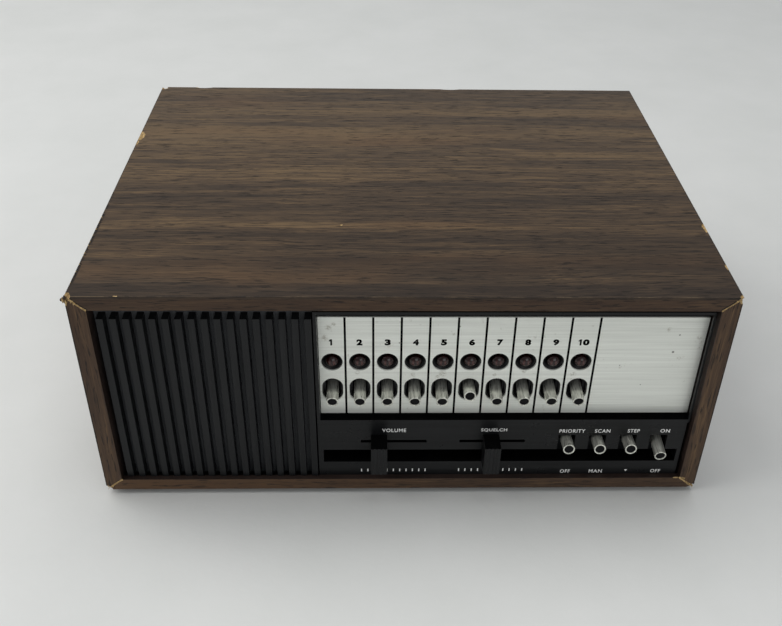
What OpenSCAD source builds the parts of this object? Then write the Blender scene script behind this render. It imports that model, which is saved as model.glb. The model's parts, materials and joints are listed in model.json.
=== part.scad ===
// Ten-channel table-top radio scanner in a walnut-grain cabinet.
// Millimetres. +Z is up, the front faces -Y, and +X is to the right as seen from the front.
// The origin is at the middle of the whole model's footprint, on the surface that it stands on.

/* [Cabinet] */
// Width over the side boards
cab_w = 290; // [286:0.5:300]
// Depth of the boards, front to back
cab_d = 228.6; // [220:0.1:240]
// Height of the cabinet, without its feet
cab_h = 114.5; // [114:0.1:118]
// Thickness of the side boards
side_t = 8.2; // [7.6:0.1:8.4]
// Thickness of the top board
top_t = 7.4; // [6.5:0.1:8]
// Thickness of the bottom board
bottom_t = 6.5; // [6:0.1:6.5]
// Height of the rubber feet
foot_h = 3; // [2.5:0.1:6]

/* [Controls] */
// Distance from one channel to the next
channel_pitch = 12.7; // [12.4:0.05:12.9]
// Distance from one function lever to the next
function_pitch = 14.85; // [14:0.05:15.2]
// Tilt of every lever, up or down from level, in degrees
lever_tilt = 6; // [4:0.5:6]
// Travel of each slider
slider_travel = 30; // [24:0.5:30]
// Where the volume slider rests, from the middle of its travel
volume_rest = -7.05; // [-12:0.05:12]
// Where the squelch slider rests, from the middle of its travel
squelch_rest = -0.85; // [-12:0.05:12]

/* [Grille] */
// Distance from one grille bar to the next
bar_pitch = 5.61; // [5.4:0.01:5.61]
// Width of one grille bar
bar_w = 3; // [2.6:0.1:3.4]
// Number of grille bars
bar_count = 17; // [14:1:17]

/* [Hidden] */
CHANNELS = 10;
FUNCTIONS = ["priority", "scan", "step", "power"];
ONES = [for (i = [1 : CHANNELS]) str(i)];

ROUND = 48;
EPS = 0.01;

// Depths are measured back from the front edges of the cabinet boards.
// Heights are measured up from the underside of the cabinet.
bar_front = 2.3;
bar_gap = 0.59;
lip_front = 3.05;
plate_front = 8;
plate_t = 1;
slat_front = 7.8;
slat_t = 2;
pivot_depth = 17;
knob_out = 7.5;

front_y = knob_out - (cab_d + knob_out) / 2;
half_w = cab_w / 2;
in_x = half_w - side_t;
in_top = cab_h - top_t;

// Front moulding
bezel_left = -41;
bezel_right = 136.2;
bezel_low = 3.65;
bezel_high = 104.4;
bezel_back = 11;
lip_w = 1.5;
right_lip_w = 1;
right_lip_t = 1.2;
window_low = 42.1;
window_high = bezel_high - lip_w;
panel_right = 135.2;
panel_t = 2.5;
ledge_t = 2;
sill_t = 1.6;
seat_front = plate_front + plate_t;
groove_low = 15.2;
groove_high = 23.1;
groove_left = -38.6;
groove_right = 133.2;
groove_back = 11.5;
groove_wall = 0.9;
rebate_depth = 16;
rebate_floor = 3.5;
front_lip = 3;

// Channel plate
plate_left = -39.35;
plate_right = 135.95;
plate_low = 42.15;
plate_high = 98.2;
channel_x = -33.5;
lamp_z = 73;
lamp_hole_r = 4.9;
lens_r = 2.8;
lens_clear = 0.15;
funnel_step = 0.4;
funnel_depth = 1.4;
bulb_front = 12;
bulb_r = 1.5;
holder_front = 15.9;
holder_r = 2.6;
channel_lever_z = 56.7;
lever_hole_w = 9.7;
lever_hole_h = 13.2;
seat_hole_w = 8.4;
seat_hole_h = 12;

// Levers
sleeve_r = 2.8;
core_r = 2.2;
core_recess = 0.4;
barrel_r = 1.6;
barrel_clear = 0.05;
barrel_len = 11;
channel_tip = 0.9;
function_tip = -4.2;
sleeve_back = 14;
function_x = 78.45;
function_lever_z = 27.4;
function_slot_w = 8.2;
function_slot_h = 9.8;
switch_front = 12.7;
switch_back = 25;
switch_w = 11.4;
switch_h = 15;
cavity_w = 7;
cavity_h = 11;

// Sliders
slider_z = 28.6;
slot_h = 1.6;
stem_w = 1.2;
stem_h = 1;
slot_len = slider_travel + stem_w + 0.4;
volume_x = -4.8;
squelch_x = 42.6;
knob_w = 7.7;
knob_low = 16.6;
knob_high = 33.1;
knob_gap = 0.45;
knob_ribs = 4;
knob_rib_w = 0.7;
knob_rib_h = 0.3;
stem_front = -4;
pot_front = 6.2;
pot_back = 11.6;
pot_len = 44;
pot_low = 25.2;
pot_high = 32;

// Loudspeaker
speaker_x = -88.5;
speaker_z = 53.5;
speaker_front = 10.2;

// Chassis and what stands on it
chassis_t = 1.2;
chassis_half = 134;
chassis_front = 52;
chassis_rear = 212.8;
bracket_left = -40;
bracket_top = 84;
chassis_side = 14;
rear_panel_front = chassis_rear + chassis_t;
rear_panel_t = 1.2;
board_z = 17;
board_t = 1.6;
board_left = -118;
board_right = 62;
board_front = 66;
board_back = 200;
board_posts = [for (x = [-110, 54], y = [74, 192]) [x, y]];
crystal_pitch = 14;
crystal_x = -104;
crystal_depth = 160;
crystal_w = 11;
crystal_d = 4.5;
crystal_h = 13.5;
socket_h = 6;

// Rear connections
antenna_x = -100;
speaker_jack_x = -62;
inlet_x = 96;
jack_z = 58;
antenna_r = 4.7;
antenna_wall = 1.5;
antenna_len = 12;
jack_r = 1.8;
jack_wall = 2.2;
panel_clear = 0.1;
antenna_flange = 9;
jack_flange = 5.5;
socket_out = 3;
socket_floor = 3;
socket_flange_t = 1.2;
jack_len = 12;
inlet_w = 24;
inlet_h = 13;
inlet_len = 16;
inlet_wall = 2;
pin_w = 1.6;
pin_h = 5;
pin_span = 14;
pin_inset = 2;

// Fasteners
foot_r = 8;
foot_x = 118;
foot_front = 26;
foot_back = 202;
screw_r = 1.5;
screw_hole_r = 1.7;
screw_head_r = 3;
screw_head_h = 1.6;
head_recess = 0.4;
screw_end = 1;
rear_screw_len = 6;
rear_screw_x = [-118, -40, 40, 118];
rear_screw_z = 14;

function lamp_x(i) = channel_x + (i - 1) * channel_pitch;
function lever_x(i) = function_x + i * function_pitch;
function bar_right(i) = bezel_left - bar_gap - (bar_count - 1 - i) * bar_pitch;

// Moves a child from cabinet places to the model's own frame.
module place() {
    translate([0, front_y, foot_h]) children();
}

// A box between two corners, each [x, depth, height].
module block(low, high) {
    translate(low) cube(high - low);
}

// A round bar that runs backwards from a point.
module rod(x, depth, z, r, length) {
    translate([x, depth, z]) rotate([-90, 0, 0]) cylinder(r = r, h = length, $fn = ROUND);
}

// A round bar that runs up from a point.
module post(x, depth, z, r, height) {
    translate([x, depth, z]) cylinder(r = r, h = height, $fn = ROUND);
}

// An upright oblong with round ends, cut backwards from a depth.
module oblong(x, depth, z, w, h, length) {
    straight = (h - w) / 2;
    rod(x, depth, z - straight, w / 2, length);
    rod(x, depth, z + straight, w / 2, length);
    block([x - w / 2, depth, z - straight], [x + w / 2, depth + length, z + straight]);
}

// A board with the given outline in X and Z, as deep as the cabinet.
module board(outline) {
    translate([0, cab_d, 0]) rotate([90, 0, 0]) linear_extrude(cab_d) polygon(outline);
}

// Corners of the sleeve's section, outer and inner.
outer = [[-half_w, 0], [half_w, 0], [half_w, cab_h], [-half_w, cab_h]];
inner = [[-in_x, bottom_t], [in_x, bottom_t], [in_x, in_top], [-in_x, in_top]];

module cabinet_top() {
    color("saddlebrown") place() board([outer[2], outer[3], inner[3], inner[2]]);
}

module cabinet_left() {
    color("saddlebrown") place() board([outer[3], outer[0], inner[0], inner[3]]);
}

module cabinet_right() {
    color("saddlebrown") place() board([outer[1], outer[2], inner[2], inner[1]]);
}

module foot_places() {
    for (x = [-foot_x, foot_x], depth = [foot_front, foot_back]) translate([x, depth, 0]) children();
}

module cabinet_bottom() {
    color("saddlebrown") place() difference() {
        board([outer[0], outer[1], inner[1], inner[0]]);
        block([-in_x, front_lip, rebate_floor], [in_x, rebate_depth, bottom_t + 1]);
        foot_places() post(0, 0, -1, screw_hole_r, bottom_t + 2);
    }
}

// The screw's head sits a little above the foot's underside.
module feet() {
    color("dimgray") place() foot_places() difference() {
        post(0, 0, -foot_h, foot_r, foot_h);
        post(0, 0, -foot_h - 1, screw_head_r + 0.3, 1 + head_recess + screw_head_h);
        post(0, 0, -foot_h - 1, screw_hole_r, foot_h + 2);
    }
}

// One pan-head screw whose shank runs up from its head.
module screw(length) {
    cylinder(r = screw_head_r, h = screw_head_h, $fn = ROUND);
    cylinder(r = screw_r, h = screw_head_h + length, $fn = ROUND);
}

module screws() {
    foot_screw = foot_h - head_recess - screw_head_h + bottom_t + chassis_t + screw_end;
    color("silver") place() {
        foot_places() translate([0, 0, head_recess - foot_h]) screw(foot_screw);
        for (x = rear_screw_x)
            translate([x, rear_panel_front + rear_panel_t + screw_head_h, rear_screw_z])
                rotate([90, 0, 0]) screw(rear_screw_len);
    }
}

// The cut that lets one function lever swing, through the panel and the groove's roof.
module function_slot(i) {
    x = lever_x(i);
    low = function_lever_z - function_slot_h / 2;
    high = function_lever_z + function_slot_h / 2;
    w = function_slot_w / 2;
    block([x - w, lip_front - 1, low], [x + w, bezel_back + 2, high]);
}

module slider_slot(x) {
    half = slot_len / 2;
    low = slider_z - slot_h / 2;
    block([x - half, lip_front - 1, low], [x + half, lip_front + panel_t + 1, low + slot_h]);
}

// The funnel round one lamp, which narrows from the plate's hole to the lens.
module lamp_funnel(x) {
    translate([x, seat_front, lamp_z]) rotate([-90, 0, 0]) {
        translate([0, 0, -EPS])
            cylinder(r1 = lamp_hole_r - funnel_step, r2 = lens_r + lens_clear, h = funnel_depth, $fn = ROUND);
        cylinder(r = lens_r + lens_clear, h = bezel_back - seat_front + 1, $fn = ROUND);
    }
}

module front_bezel() {
    color("#1b1b1c") place() difference() {
        union() {
            // top and left lips
            block([bezel_left, lip_front, window_high], [bezel_right, bezel_back, bezel_high]);
            block([bezel_left, lip_front, bezel_low], [bezel_left + lip_w, bezel_back, bezel_high]);
            // thin right lip, which the plate tucks under
            block([bezel_right - right_lip_w, lip_front, window_low - 1],
                  [bezel_right, lip_front + right_lip_t, bezel_high]);
            // seat behind the plate
            block([bezel_left, seat_front, window_low - ledge_t], [bezel_right, bezel_back, bezel_high]);
            // ledge under the plate and control panel below it
            block([bezel_left, lip_front, window_low - ledge_t], [bezel_right, bezel_back, window_low]);
            block([bezel_left, lip_front, bezel_low], [panel_right, lip_front + panel_t, window_low]);
            block([bezel_left, lip_front, bezel_low], [panel_right, bezel_back, bezel_low + sill_t]);
            // walls of the long groove
            block([bezel_left, lip_front, groove_low - groove_wall],
                  [panel_right, groove_back + groove_wall, groove_high + groove_wall]);
        }
        block([groove_left, lip_front - 1, groove_low], [groove_right, groove_back, groove_high]);
        for (i = [0 : len(FUNCTIONS) - 1]) function_slot(i);
        slider_slot(volume_x);
        slider_slot(squelch_x);
        for (i = [1 : CHANNELS]) {
            lamp_funnel(lamp_x(i));
            oblong(lamp_x(i), seat_front - 1, channel_lever_z, seat_hole_w, seat_hole_h, 4);
        }
    }
}

module speaker_grille() {
    left = -in_x + 0.2;
    right = bezel_left - 0.3;
    back = slat_front + slat_t;
    gap = 0.6;
    foot_low = 10;
    foot_high = 97;
    bar_low = bottom_t + 0.1;
    bar_high = 101.1;
    color("#202122") place() difference() {
        union() {
            block([left, slat_front, bezel_low], [right, back, bezel_high]);
            block([left, lip_front + 0.05, rebate_floor + 0.05], [right, back, bezel_low + 0.6]);
            for (i = [0 : bar_count - 1]) {
                x = bar_right(i);
                block([x - bar_w, bar_front, bar_low], [x, back - EPS, bar_high]);
            }
        }
        // behind each bar the back is open, so that sound passes round the bar
        for (i = [0 : bar_count - 1]) {
            x = bar_right(i);
            block([x - bar_w - EPS, slat_front - gap, foot_low], [x + EPS, slat_front, foot_high]);
            block([x - bar_w + 0.3, slat_front - EPS, foot_low], [x - 0.3, back + 1, foot_high]);
        }
    }
}

module channel_plate() {
    color("silver") place() difference() {
        block([plate_left, plate_front, plate_low], [plate_right, seat_front, plate_high]);
        for (i = [1 : CHANNELS]) {
            rod(lamp_x(i), plate_front - 1, lamp_z, lamp_hole_r, plate_t + 2);
            oblong(lamp_x(i), plate_front - 1, channel_lever_z, lever_hole_w, lever_hole_h, plate_t + 2);
        }
    }
}

// A domed red lens with a flat-bottomed hole for its bulb.
module lamp_lenses() {
    dome = 1.5;
    shoulder = plate_front + 0.4;
    length = 7;
    bulb_hole_r = bulb_r + 0.2;
    bulb_hole_floor = 3;
    color("darkred") place() for (i = [1 : CHANNELS]) translate([lamp_x(i), shoulder, lamp_z])
        rotate([-90, 0, 0]) difference() {
            union() {
                cylinder(r = lens_r, h = length, $fn = ROUND);
                intersection() {
                    translate([0, 0, (lens_r * lens_r - dome * dome) / (2 * dome)])
                        sphere(r = (lens_r * lens_r + dome * dome) / (2 * dome), $fn = ROUND);
                    translate([0, 0, -dome]) cylinder(r = lens_r, h = dome + EPS, $fn = ROUND);
                }
            }
            translate([0, 0, bulb_hole_floor]) cylinder(r = bulb_hole_r, h = length, $fn = ROUND);
        }
}

module lamp_bulbs() {
    color("khaki") place() for (i = [1 : CHANNELS]) {
        rod(lamp_x(i), bulb_front, lamp_z, bulb_r, holder_front - bulb_front + EPS);
        rod(lamp_x(i), holder_front, lamp_z, holder_r, switch_back - holder_front);
    }
}

// Turns a lever about its pivot. A positive angle lowers its tip.
module at_pivot(x, z, tilt) {
    place() translate([x, pivot_depth, z]) rotate([tilt, 0, 0]) children();
}

// The black core of a lever with its cross barrel, pointing forwards from its pivot.
module lever_core(tip) {
    reach = pivot_depth - tip - core_recess;
    rod(0, -reach, 0, core_r, reach);
    translate([-barrel_len / 2, 0, 0]) rotate([0, 90, 0]) cylinder(r = barrel_r, h = barrel_len, $fn = ROUND);
}

// The bright sleeve on a lever's core.
module lever_sleeve(tip) {
    difference() {
        rod(0, tip - pivot_depth, 0, sleeve_r, sleeve_back - tip);
        rod(0, tip - pivot_depth - 1, 0, core_r, sleeve_back - tip + 2);
    }
}

// Channel six rests up, the others rest down.
function channel_tilt(i) = i == 6 ? -lever_tilt : lever_tilt;
// The power lever rests down, the other function levers rest up.
function function_tilt(i) = i == 3 ? lever_tilt : -lever_tilt;

module channel_lever(i) {
    color("#202020") at_pivot(lamp_x(i), channel_lever_z, channel_tilt(i)) lever_core(channel_tip);
}

module channel_sleeve(i) {
    color("gainsboro") at_pivot(lamp_x(i), channel_lever_z, channel_tilt(i)) lever_sleeve(channel_tip);
}

module function_lever(i) {
    color("#202020") at_pivot(lever_x(i), function_lever_z, function_tilt(i)) lever_core(function_tip);
}

module function_sleeve(i) {
    color("gainsboro") at_pivot(lever_x(i), function_lever_z, function_tilt(i)) lever_sleeve(function_tip);
}

// A switch body, open at the front, with bearings for a lever's barrel in its side walls.
module switch_body(x, z) {
    difference() {
        block([x - switch_w / 2, switch_front, z - switch_h / 2],
              [x + switch_w / 2, switch_back, z + switch_h / 2]);
        block([x - cavity_w / 2, switch_front - 1, z - cavity_h / 2],
              [x + cavity_w / 2, switch_back - 3, z + cavity_h / 2]);
        translate([x - switch_w, pivot_depth, z]) rotate([0, 90, 0])
            cylinder(r = barrel_r + barrel_clear, h = 2 * switch_w, $fn = ROUND);
    }
}

module channel_switches() {
    color("#303234") place() for (i = [1 : CHANNELS]) switch_body(lamp_x(i), channel_lever_z);
}

module function_switches() {
    color("#303234") place() for (i = [0 : len(FUNCTIONS) - 1]) switch_body(lever_x(i), function_lever_z);
}

module slider_knob(x) {
    half = knob_w / 2;
    step = knob_w / knob_ribs;
    low = slider_z - stem_h / 2;
    color("#161617") place() difference() {
        union() {
            block([x - half, knob_rib_h - knob_out, knob_low], [x + half, lip_front - knob_gap, knob_high]);
            for (i = [0 : knob_ribs - 1]) {
                rib = x - half + (i + 0.5) * step - knob_rib_w / 2;
                block([rib, -knob_out, knob_low], [rib + knob_rib_w, 0, knob_high]);
            }
        }
        block([x - stem_w / 2, stem_front, low], [x + stem_w / 2, lip_front, low + stem_h]);
    }
}

module slider_wiper(x) {
    low = slider_z - stem_h / 2;
    color("silver") place() {
        block([x - stem_w / 2, stem_front, low], [x + stem_w / 2, pot_front + 2.5, low + stem_h]);
        block([x - 3, pot_front + 2, slider_z - 1.8], [x + 3, pot_back - 1.2, slider_z + 1.8]);
    }
}

module slider_pot(x) {
    half = pot_len / 2;
    run = slot_len / 2 + 3;
    color("#8d9194") place() difference() {
        block([x - half, pot_front, pot_low], [x + half, pot_back, pot_high]);
        block([x - run, pot_front + 1, slider_z - 2.1], [x + run, pot_back - 0.8, slider_z + 2.1]);
        block([x - slot_len / 2, pot_front - 1, slider_z - slot_h / 2],
              [x + slot_len / 2, pot_front + 2, slider_z + slot_h / 2]);
    }
}

// Places a profile of [radius, depth] points, turned about the loudspeaker's axis.
module speaker_round(points) {
    place() translate([speaker_x, speaker_front, speaker_z]) rotate([-90, 0, 0])
        rotate_extrude($fn = ROUND) polygon(points);
}

module speaker_frame() {
    color("#5d6164") speaker_round(
        [[38, 0], [44.5, 0], [44.5, 1.5], [39.5, 1.5], [20, 21],
         [20, 22.5], [8, 22.5], [8, 21], [19, 21], [38, 2]]);
}

module speaker_cone() {
    color("#3b3026") speaker_round([[37.4, 0.2], [37.4, 0.9], [9, 18.9], [0, 16.6], [0, 16.1], [9, 18.1]]);
}

module speaker_magnet() {
    color("#4a4a4c") speaker_round([[0, 22.5], [21, 22.5], [21, 34], [0, 34]]);
}

module chassis() {
    floor_z = bottom_t;
    left_tongue = 28;
    post_r = 3;
    color("#a8adb0") place() difference() {
        union() {
            block([-chassis_half, chassis_front, floor_z], [chassis_half, chassis_rear, floor_z + chassis_t]);
            // tongue under the switches, and the foot places at the front
            block([bracket_left, rebate_depth, floor_z],
                  [chassis_half, chassis_front + EPS, floor_z + chassis_t]);
            block([-chassis_half, rebate_depth, floor_z],
                  [left_tongue - chassis_half, chassis_front + EPS, floor_z + chassis_t]);
            for (x = [-chassis_half, chassis_half - chassis_t])
                block([x, chassis_front, floor_z], [x + chassis_t, chassis_rear, floor_z + chassis_side]);
            block([-chassis_half, chassis_rear, floor_z],
                  [chassis_half, rear_panel_front, floor_z + chassis_side]);
            // upright bracket that carries the switches and the lamps
            block([bracket_left, switch_back, floor_z], [chassis_half, switch_back + chassis_t, bracket_top]);
            for (p = board_posts) post(p[0], p[1], floor_z, post_r, board_z - floor_z);
        }
        foot_places() post(0, 0, floor_z - 1, screw_hole_r, chassis_t + screw_end + 2);
        for (x = rear_screw_x) rod(x, chassis_rear - 1, rear_screw_z, screw_hole_r, chassis_t + 2);
    }
}

module rear_panel() {
    low = bottom_t + 0.3;
    high = in_top - 1.5;
    depth = rear_panel_front;
    vent_w = 3;
    vent_step = 8;
    vent_reach = 40;
    vent_low = 78;
    vent_high = 98;
    color("#3c3f42") place() difference() {
        block([-chassis_half, depth, low], [chassis_half, depth + rear_panel_t, high]);
        for (x = rear_screw_x) rod(x, depth - 1, rear_screw_z, screw_hole_r, rear_panel_t + 2);
        rod(antenna_x, depth - 1, jack_z, antenna_r + antenna_wall + panel_clear, rear_panel_t + 2);
        rod(speaker_jack_x, depth - 1, jack_z, jack_r + jack_wall + panel_clear, rear_panel_t + 2);
        block([inlet_x - inlet_w / 2, depth - 1, jack_z - inlet_h / 2],
              [inlet_x + inlet_w / 2, depth + 3, jack_z + inlet_h / 2]);
        for (x = [-vent_reach : vent_step : vent_reach])
            block([x - vent_w / 2, depth - 1, vent_low], [x + vent_w / 2, depth + 3, vent_high]);
    }
}

// A round socket: a barrel through the panel with a flange outside and a blind bore.
module socket(x, r, length, barrel, flange) {
    depth = rear_panel_front + rear_panel_t + socket_out - length;
    difference() {
        union() {
            rod(x, depth - socket_floor, jack_z, barrel, length + socket_floor);
            rod(x, rear_panel_front + rear_panel_t, jack_z, flange, socket_flange_t);
        }
        rod(x, depth, jack_z, r, length + 1);
    }
}

module antenna_jack() {
    color("silver") place()
        socket(antenna_x, antenna_r, antenna_len, antenna_r + antenna_wall, antenna_flange);
}

module speaker_jack() {
    color("#222222") place() socket(speaker_jack_x, jack_r, jack_len, jack_r + jack_wall, jack_flange);
}

// Two flat pins in a moulded recess.
module power_inlet() {
    back = rear_panel_front + rear_panel_t;
    front = back - inlet_len;
    w = inlet_w / 2;
    h = inlet_h / 2;
    floor_t = 3;
    flange_t = 1.5;
    rim = 2;
    color("#1e1e1e") place() {
        difference() {
            union() {
                block([inlet_x - w, front, jack_z - h], [inlet_x + w, back + EPS, jack_z + h]);
                block([inlet_x - w - rim, back, jack_z - h - rim],
                      [inlet_x + w + rim, back + flange_t, jack_z + h + rim]);
            }
            block([inlet_x - w + inlet_wall, front + floor_t, jack_z - h + inlet_wall],
                  [inlet_x + w - inlet_wall, back + 3, jack_z + h - inlet_wall]);
        }
        for (x = [inlet_x - pin_span / 2, inlet_x + pin_span / 2])
            block([x - pin_w / 2, front + floor_t - 1, jack_z - pin_h / 2],
                  [x + pin_w / 2, back - pin_inset, jack_z + pin_h / 2]);
    }
}

module main_board() {
    color("#7a6a3a") place()
        block([board_left, board_front, board_z], [board_right, board_back, board_z + board_t]);
}

// One crystal place, counted from the left.
module crystal_box(i, low, high, grow) {
    x = crystal_x + i * crystal_pitch;
    w = crystal_w / 2 + grow;
    d = crystal_d / 2 + grow;
    block([x - w, crystal_depth - d, low], [x + w, crystal_depth + d, high]);
}

module crystal_sockets() {
    low = board_z + board_t;
    color("#26282a") place() for (i = [0 : CHANNELS - 1]) crystal_box(i, low, low + socket_h, 1);
}

module crystals() {
    low = board_z + board_t + socket_h;
    color("lightgray") place() for (i = [0 : CHANNELS - 1]) crystal_box(i, low, low + crystal_h, 0);
}

// Laminated core with its winding bulging front and back.
module transformer() {
    x = 98;
    depth = 150;
    low = bottom_t + chassis_t;
    core = [50, 18, 42];
    winding = [30, 34, 26];
    strap = [64, 12, 1.5];
    winding_low = 8;
    color("#5a4a3c") place() {
        block([x - core[0] / 2, depth - core[1] / 2, low],
              [x + core[0] / 2, depth + core[1] / 2, low + core[2]]);
        block([x - winding[0] / 2, depth - winding[1] / 2, low + winding_low],
              [x + winding[0] / 2, depth + winding[1] / 2, low + winding_low + winding[2]]);
        block([x - strap[0] / 2, depth - strap[1] / 2, low],
              [x + strap[0] / 2, depth + strap[1] / 2, low + strap[2]]);
    }
}

// Each can is [x, depth, radius, height].
module filter_capacitors() {
    cans = [[10, 100, 12, 40], [40, 100, 9, 32], [40, 128, 6, 24]];
    color("#3f5f86") place() for (c = cans) post(c[0], c[1], board_z + board_t, c[2], c[3]);
}

cabinet_top();
cabinet_bottom();
cabinet_left();
cabinet_right();
front_bezel();
speaker_grille();
channel_plate();
lamp_lenses();
lamp_bulbs();
for (i = [1 : CHANNELS]) {
    channel_lever(i);
    channel_sleeve(i);
}
for (i = [0 : len(FUNCTIONS) - 1]) {
    function_lever(i);
    function_sleeve(i);
}
channel_switches();
function_switches();
slider_knob(volume_x + volume_rest);  // volume_knob
slider_knob(squelch_x + squelch_rest);  // squelch_knob
slider_wiper(volume_x + volume_rest);  // volume_wiper
slider_wiper(squelch_x + squelch_rest);  // squelch_wiper
slider_pot(volume_x);  // volume_pot
slider_pot(squelch_x);  // squelch_pot
speaker_frame();
speaker_cone();
speaker_magnet();
chassis();
rear_panel();
main_board();
crystal_sockets();
crystals();
transformer();
filter_capacitors();
antenna_jack();
speaker_jack();
power_inlet();
feet();
screws();
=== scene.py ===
# The looks of a ten-channel table-top radio scanner in a walnut-grain cabinet.
# Lengths are in millimetres, and MM turns them into metres where they enter Blender.
# X runs to the right, Y to the back and Z up.
import json
import math
import random

import bmesh
import bpy
from mathutils import Matrix, Vector, noise


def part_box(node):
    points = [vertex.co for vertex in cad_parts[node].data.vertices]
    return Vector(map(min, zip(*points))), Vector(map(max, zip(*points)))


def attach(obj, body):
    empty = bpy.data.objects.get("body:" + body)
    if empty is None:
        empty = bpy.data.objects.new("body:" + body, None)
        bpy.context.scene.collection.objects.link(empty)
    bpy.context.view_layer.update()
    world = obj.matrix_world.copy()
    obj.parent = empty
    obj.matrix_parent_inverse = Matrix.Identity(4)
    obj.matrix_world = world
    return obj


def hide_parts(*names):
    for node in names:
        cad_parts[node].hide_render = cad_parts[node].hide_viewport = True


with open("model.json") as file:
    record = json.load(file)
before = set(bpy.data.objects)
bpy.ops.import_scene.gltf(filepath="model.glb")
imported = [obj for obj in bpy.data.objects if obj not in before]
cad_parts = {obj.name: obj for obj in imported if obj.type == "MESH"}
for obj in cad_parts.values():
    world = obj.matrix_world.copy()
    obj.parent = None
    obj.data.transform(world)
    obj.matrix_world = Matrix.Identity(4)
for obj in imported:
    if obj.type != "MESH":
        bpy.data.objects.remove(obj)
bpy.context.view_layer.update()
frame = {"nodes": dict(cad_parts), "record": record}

MM = 0.001
RECORD = frame["record"]
BODY_OF = {node: body for body, nodes in RECORD["behaviour"]["bodies"].items() for node in nodes}
SLOT_OF = {part["node"]: part["material_slot"] for part in RECORD["subparts"]}
CHANNELS = [str(i) for i in range(1, 11)]
FUNCTIONS = ["priority", "scan", "step", "power"]


def corners(node):
    """A CAD node's lowest and highest corners, in millimetres."""
    low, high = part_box(node)
    return low / MM, high / MM


# Places that the pieces share, from the CAD model, in millimetres
TOP_LOW, TOP_HIGH = corners("cabinet_top")
BOTTOM_LOW, BOTTOM_HIGH = corners("cabinet_bottom")
LEFT_LOW, LEFT_HIGH = corners("cabinet_left")
RIGHT_LOW, RIGHT_HIGH = corners("cabinet_right")
PLATE_LOW, PLATE_HIGH = corners("channel_plate")
LENS_LOW, LENS_HIGH = corners("lamp_lenses")
FRONT = TOP_LOW.y
BACK = TOP_HIGH.y
UNDER = BOTTOM_LOW.z
PANEL_FACE = corners("front_bezel")[0].y
PLATE_FACE = PLATE_LOW.y
PITCH = 12.7  # from one channel to the next
LENS_R = (LENS_HIGH.z - LENS_LOW.z) / 2
LAMP_X = [LENS_LOW.x + LENS_R + PITCH * i for i in range(10)]
LAMP_Z = (LENS_LOW.z + LENS_HIGH.z) / 2


# ---------------------------------------------------------------- materials


class Shader:
    """A material with a Principled shader, and short ways to add the nodes that feed it."""

    def __init__(self, name):
        self.material = bpy.data.materials.new(name)
        self.material.use_nodes = True
        self.tree = self.material.node_tree
        self.bsdf = next(n for n in self.tree.nodes if n.type == "BSDF_PRINCIPLED")
        self.place = self.node("ShaderNodeTexCoord").outputs["Object"]

    def node(self, kind, **settings):
        made = self.tree.nodes.new(kind)
        for key, value in settings.items():
            setattr(made, key, value)
        return made

    def feed(self, socket, value):
        """A link where value is another node's output, a plain number or colour otherwise."""
        if isinstance(value, bpy.types.NodeSocket):
            self.tree.links.new(value, socket)
        else:
            socket.default_value = value

    def stretched(self, per_metre, shift=(0, 0, 0), source=None):
        """The place, times a number of repeats a metre along each axis."""
        mapping = self.node("ShaderNodeMapping")
        self.feed(mapping.inputs["Vector"], source or self.place)
        mapping.inputs["Scale"].default_value = per_metre
        mapping.inputs["Location"].default_value = shift
        return mapping.outputs["Vector"]

    def noise(self, vector, detail, roughness=0.5):
        made = self.node("ShaderNodeTexNoise")
        self.feed(made.inputs["Vector"], vector)
        made.inputs["Scale"].default_value = 1.0
        made.inputs["Detail"].default_value = detail
        made.inputs["Roughness"].default_value = roughness
        return made.outputs["Fac"]

    def math(self, operation, a, b=0.0):
        made = self.node("ShaderNodeMath", operation=operation)
        self.feed(made.inputs[0], a)
        self.feed(made.inputs[1], b)
        return made.outputs["Value"]

    def span(self, value, low, high, to_low=0.0, to_high=1.0):
        """value, carried from one range to another and held inside it."""
        made = self.node("ShaderNodeMapRange", clamp=True)
        for index, item in enumerate((value, low, high, to_low, to_high)):
            self.feed(made.inputs[index], item)
        return made.outputs["Result"]

    def mix(self, factor, a, b):
        made = self.node("ShaderNodeMix", data_type="RGBA")
        self.feed(made.inputs[0], factor)
        # a Mix node's colour sockets have numbers 6 and 7 going in, and 2 coming out
        for index, colour in ((6, a), (7, b)):
            linked = isinstance(colour, bpy.types.NodeSocket)
            self.feed(made.inputs[index], colour if linked else (*colour, 1.0))
        return made.outputs[2]

    def axes(self):
        """The place's X, Y and Z as three numbers, in metres."""
        made = self.node("ShaderNodeSeparateXYZ")
        self.feed(made.inputs["Vector"], self.place)
        return made.outputs

    def blot(self, x, z, size):
        """1 at a place on the front, in millimetres, fading to 0 at a distance of size."""
        axes = self.axes()
        across = self.math("SUBTRACT", axes[0], x * MM)
        up = self.math("SUBTRACT", axes[2], z * MM)
        away = self.math("ADD", self.math("POWER", across, 2.0), self.math("POWER", up, 2.0))
        return self.span(self.math("SQRT", away), 0.3 * size * MM, size * MM, 1.0, 0.0)

    def bump(self, height, distance, strength=1.0):
        made = self.node("ShaderNodeBump")
        made.inputs["Strength"].default_value = strength
        made.inputs["Distance"].default_value = distance * MM
        self.feed(made.inputs["Height"], height)
        self.feed(self.bsdf.inputs["Normal"], made.outputs["Normal"])

    def set(self, **values):
        """Sets the shader's sockets by name, with _ for a space."""
        for key, value in values.items():
            socket = self.bsdf.inputs[key.replace("_", " ")]
            if isinstance(value, tuple) and len(value) == 3 and socket.type == "RGBA":
                value = (*value, 1.0)
            self.feed(socket, value)


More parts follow.
